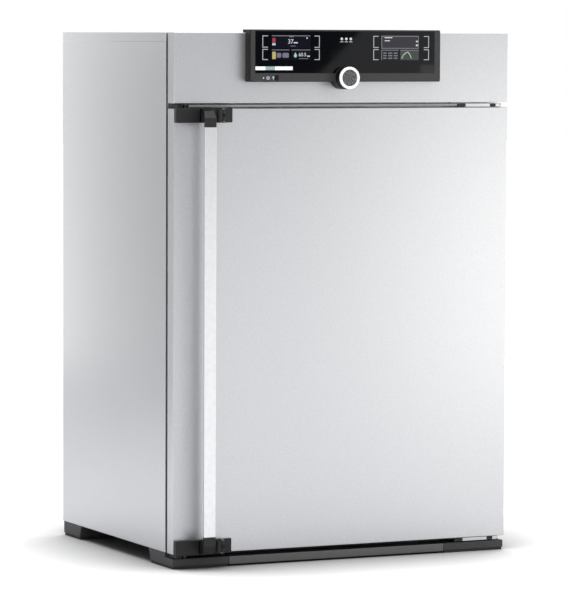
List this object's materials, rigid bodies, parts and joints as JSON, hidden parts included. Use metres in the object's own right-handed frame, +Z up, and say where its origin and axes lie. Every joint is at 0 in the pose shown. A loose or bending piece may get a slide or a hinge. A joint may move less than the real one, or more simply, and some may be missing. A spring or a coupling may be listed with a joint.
{
  "type": "constant climate chamber",
  "caption": "Free-standing climate chamber with a side-hung door and bar handle, inner glass door, control cockpit with turn knob, shelves and a rear thermoelectric unit.",
  "frame": {"origin": "on the standing surface, at the bottom centre of the machine's box", "axes": "+Z up, +X to the right seen from the front, +Y to the rear"},
  "size_m": [0.824, 0.83, 1.183],
  "materials": {
    "stainless_textured": "satin",
    "stainless_plain": "satin",
    "cockpit_plastic": "matte",
    "knob_plastic": "satin",
    "black_glass": "gloss",
    "white_ring": "gloss",
    "display_panel": "gloss",
    "bracket_metal": "satin",
    "bar_satin": "satin",
    "foot_plastic": "matte",
    "plinth_metal": "matte",
    "rubber_black": "matte",
    "seal_silicone": "matte",
    "clear_glass": "gloss",
    "mineral_wool": "matte",
    "heat_sink_aluminium": "satin",
    "module_ceramic": "matte",
    "board_green": "satin",
    "supply_metal": "satin",
    "fan_plastic": "matte",
    "motor_metal": "satin",
    "pin_steel": "polished",
    "tray_dark": "matte"
  },
  "bodies": {
    "cabinet": {"side_panel_left": "stainless_textured", "side_panel_right": "stainless_textured", "top_cover": "stainless_textured", "base_tray": "tray_dark", "rear_panel": "stainless_plain", "front_frame": "stainless_plain", "fascia": "stainless_textured", "seam_profile": "rubber_black", "hinge_arms": "stainless_plain", "strike_plates": "stainless_plain", "feet": "foot_plastic", "foot_pads": "rubber_black", "plinth_bar": "plinth_metal", "working_chamber": "stainless_plain", "chamber_insulation": "mineral_wool", "shelves": "stainless_plain", "baffle": "stainless_plain", "sensor_probes": "pin_steel", "fan_motor": "motor_metal", "cold_heat_exchanger": "heat_sink_aluminium", "peltier_modules": "module_ceramic", "rear_heatsink": "heat_sink_aluminium", "rear_cover": "stainless_plain", "rear_fan_frames": "fan_plastic", "electronics_deck": "stainless_plain", "main_board": "board_green", "power_supply": "supply_metal", "steam_generator": "stainless_plain", "water_inlet": "cockpit_plastic", "mains_inlet": "cockpit_plastic", "cockpit_housing": "cockpit_plastic", "cockpit_glass": "black_glass", "displays": "display_panel", "control_board": "board_green", "usb_port": "pin_steel", "power_switch": "cockpit_plastic", "encoder_body": "cockpit_plastic", "glass_hinge_leaves": "stainless_plain"},
    "chamber_fan": {"fan_wheel": "heat_sink_aluminium"},
    "rear_fan_lower": {"rear_fan_rotor_lower": "fan_plastic"},
    "rear_fan_upper": {"rear_fan_rotor_upper": "fan_plastic"},
    "knob_press": {"encoder_plunger": "pin_steel"},
    "knob": {"knob_shaft": "pin_steel", "control_knob": "knob_plastic", "knob_ring": "white_ring"},
    "power_key": {"power_button": "knob_plastic"},
    "door": {"door_outer": "stainless_textured", "door_inner": "stainless_plain", "door_insulation": "mineral_wool", "door_gasket": "rubber_black", "hinge_bushes": "cockpit_plastic", "handle_brackets": "bracket_metal", "latch_rollers": "pin_steel", "lever_pins": "pin_steel"},
    "handle": {"handle_levers": "bracket_metal", "handle_bar": "bar_satin"},
    "glass_door": {"glass_pane": "clear_glass", "glass_seal": "seal_silicone", "glass_hinge_clips": "stainless_plain", "glass_finger_knob": "cockpit_plastic"}
  },
  "joints": [
    {"name": "door_hinge", "type": "hinge", "parent": "cabinet", "child": "door", "pos_m": [0.394, -0.344, 0.5216], "axis": [0, 0, 1], "range_deg": [0, 160]},
    {"name": "handle_pull", "type": "hinge", "parent": "door", "child": "handle", "pos_m": [-0.3, -0.372, 0.5232], "axis": [0, 0, 1], "range_deg": [0, 35]},
    {"name": "glass_door_hinge", "type": "hinge", "parent": "cabinet", "child": "glass_door", "pos_m": [0.358, -0.3195, 0.52], "axis": [0, 0, 1], "range_deg": [0, 96]},
    {"name": "knob_push", "type": "slide", "parent": "cabinet", "child": "knob_press", "axis": [0, 1, 0], "range_m": [0, 0.0015], "stiffness_N_per_m": 2000},
    {"name": "knob_turn", "type": "hinge", "parent": "knob_press", "child": "knob", "pos_m": [-0.01, -0.387, 1.0773], "axis": [0, 1, 0], "continuous": true},
    {"name": "power_press", "type": "slide", "parent": "cabinet", "child": "power_key", "axis": [0, 1, 0], "range_m": [0, 0.0015], "stiffness_N_per_m": 1500},
    {"name": "chamber_fan_spin", "type": "hinge", "parent": "cabinet", "child": "chamber_fan", "pos_m": [0, 0.22, 0.79], "axis": [0, 1, 0], "continuous": true},
    {"name": "rear_fan_lower_spin", "type": "hinge", "parent": "cabinet", "child": "rear_fan_lower", "pos_m": [0, 0.398, 0.34], "axis": [0, 1, 0], "continuous": true},
    {"name": "rear_fan_upper_spin", "type": "hinge", "parent": "cabinet", "child": "rear_fan_upper", "pos_m": [0, 0.398, 0.52], "axis": [0, 1, 0], "continuous": true}
  ],
  "couplings": [
    {"joint": "glass_door_hinge", "follows": "door_hinge", "ratio": 0.6}
  ]
}
